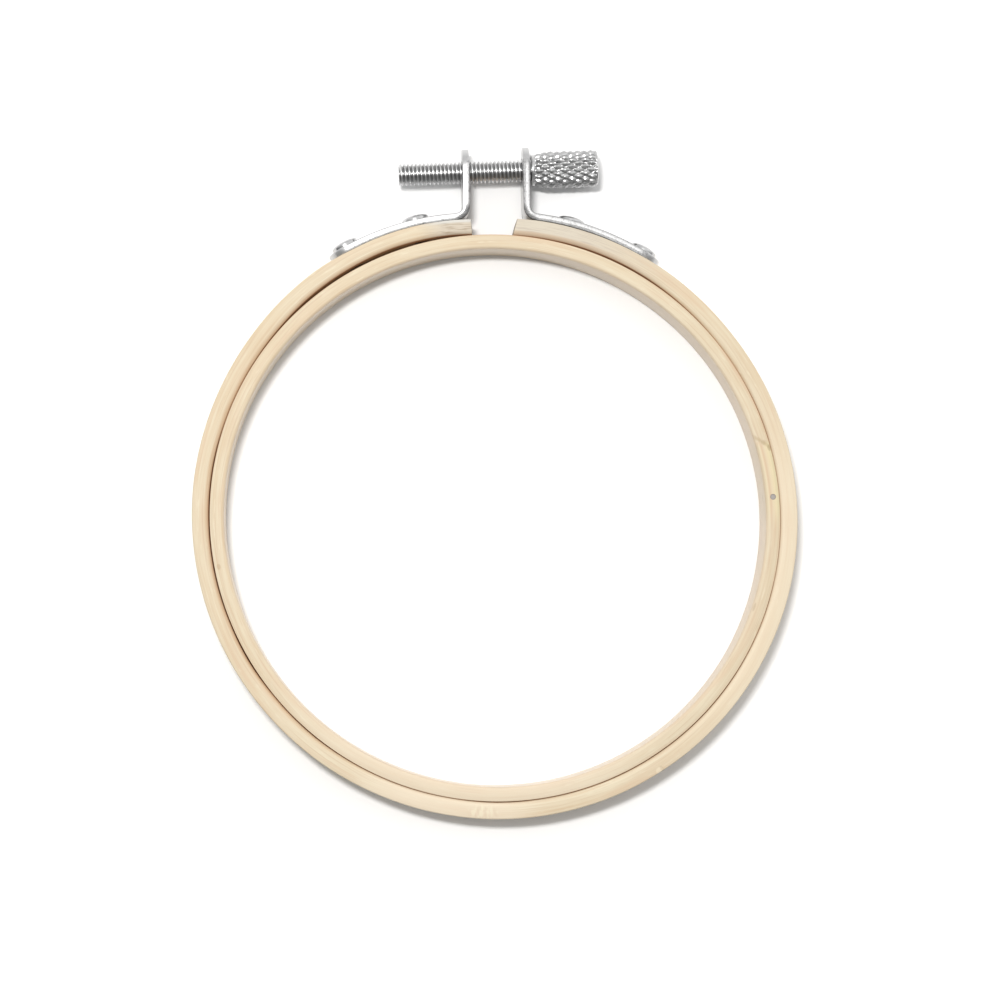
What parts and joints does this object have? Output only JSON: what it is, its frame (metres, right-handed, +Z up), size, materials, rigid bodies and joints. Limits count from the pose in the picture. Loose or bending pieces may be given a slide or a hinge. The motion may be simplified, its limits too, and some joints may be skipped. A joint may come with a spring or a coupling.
{
  "type": "embroidery hoop",
  "caption": "Small round bamboo embroidery hoop: an inner ring lifts out of a split outer ring, which a thumb screw through two riveted ears closes to grip cloth.",
  "frame": {"origin": "under the middle of the whole outline, on the table that the rings lie on; the rings' centre is 6.56 mm from it towards -Y", "axes": "+Y from the rings towards the clamp, +Z up out of the rings' plane, +X along the screw towards its knob"},
  "size_m": [0.1066, 0.119, 0.0085],
  "materials": {
    "inner_bamboo": "sanded bare bamboo",
    "outer_bamboo": "sanded bare bamboo",
    "plated_strip": "bright zinc plate over sheared strip",
    "plated_rivet": "bright zinc plate",
    "screw_steel": "rolled thread, bright zinc plate",
    "knob_steel": "coarse crossed knurl, bright zinc plate",
    "brad_steel": "dull cut end"
  },
  "bodies": {
    "outer_frame": {"outer_ring": "outer_bamboo", "bracket_left": "plated_strip", "rivet_left_near": "plated_rivet", "rivet_left_far": "plated_rivet"},
    "right_end": {"bracket_right": "plated_strip", "rivet_right_near": "plated_rivet", "rivet_right_far": "plated_rivet"},
    "thumb_screw": {"screw_rod": "screw_steel", "screw_knob": "knob_steel"},
    "lift_out_ring": {"inner_ring": "inner_bamboo", "inner_ring_pin": "brad_steel"}
  },
  "joints": [
    {"name": "right_end_slide", "type": "slide", "parent": "outer_frame", "child": "right_end", "axis": [0.9991, 0.0419, 0], "range_m": [-0.00035, 0.0105], "deforming": ["outer_ring"]},
    {"name": "screw_turn", "type": "hinge", "parent": "right_end", "child": "thumb_screw", "pos_m": [0, 0.05518, 0.00425], "axis": [0.9991, 0.0419, 0], "range_deg": [-180, 5400]},
    {"name": "inner_ring_lift", "type": "slide", "parent": "outer_frame", "child": "lift_out_ring", "axis": [0, 0, 1], "range_m": [0, 0.02]}
  ],
  "couplings": [
    {"joint": "screw_turn", "follows": "right_end_slide", "rad_per_m": 8976}
  ]
}
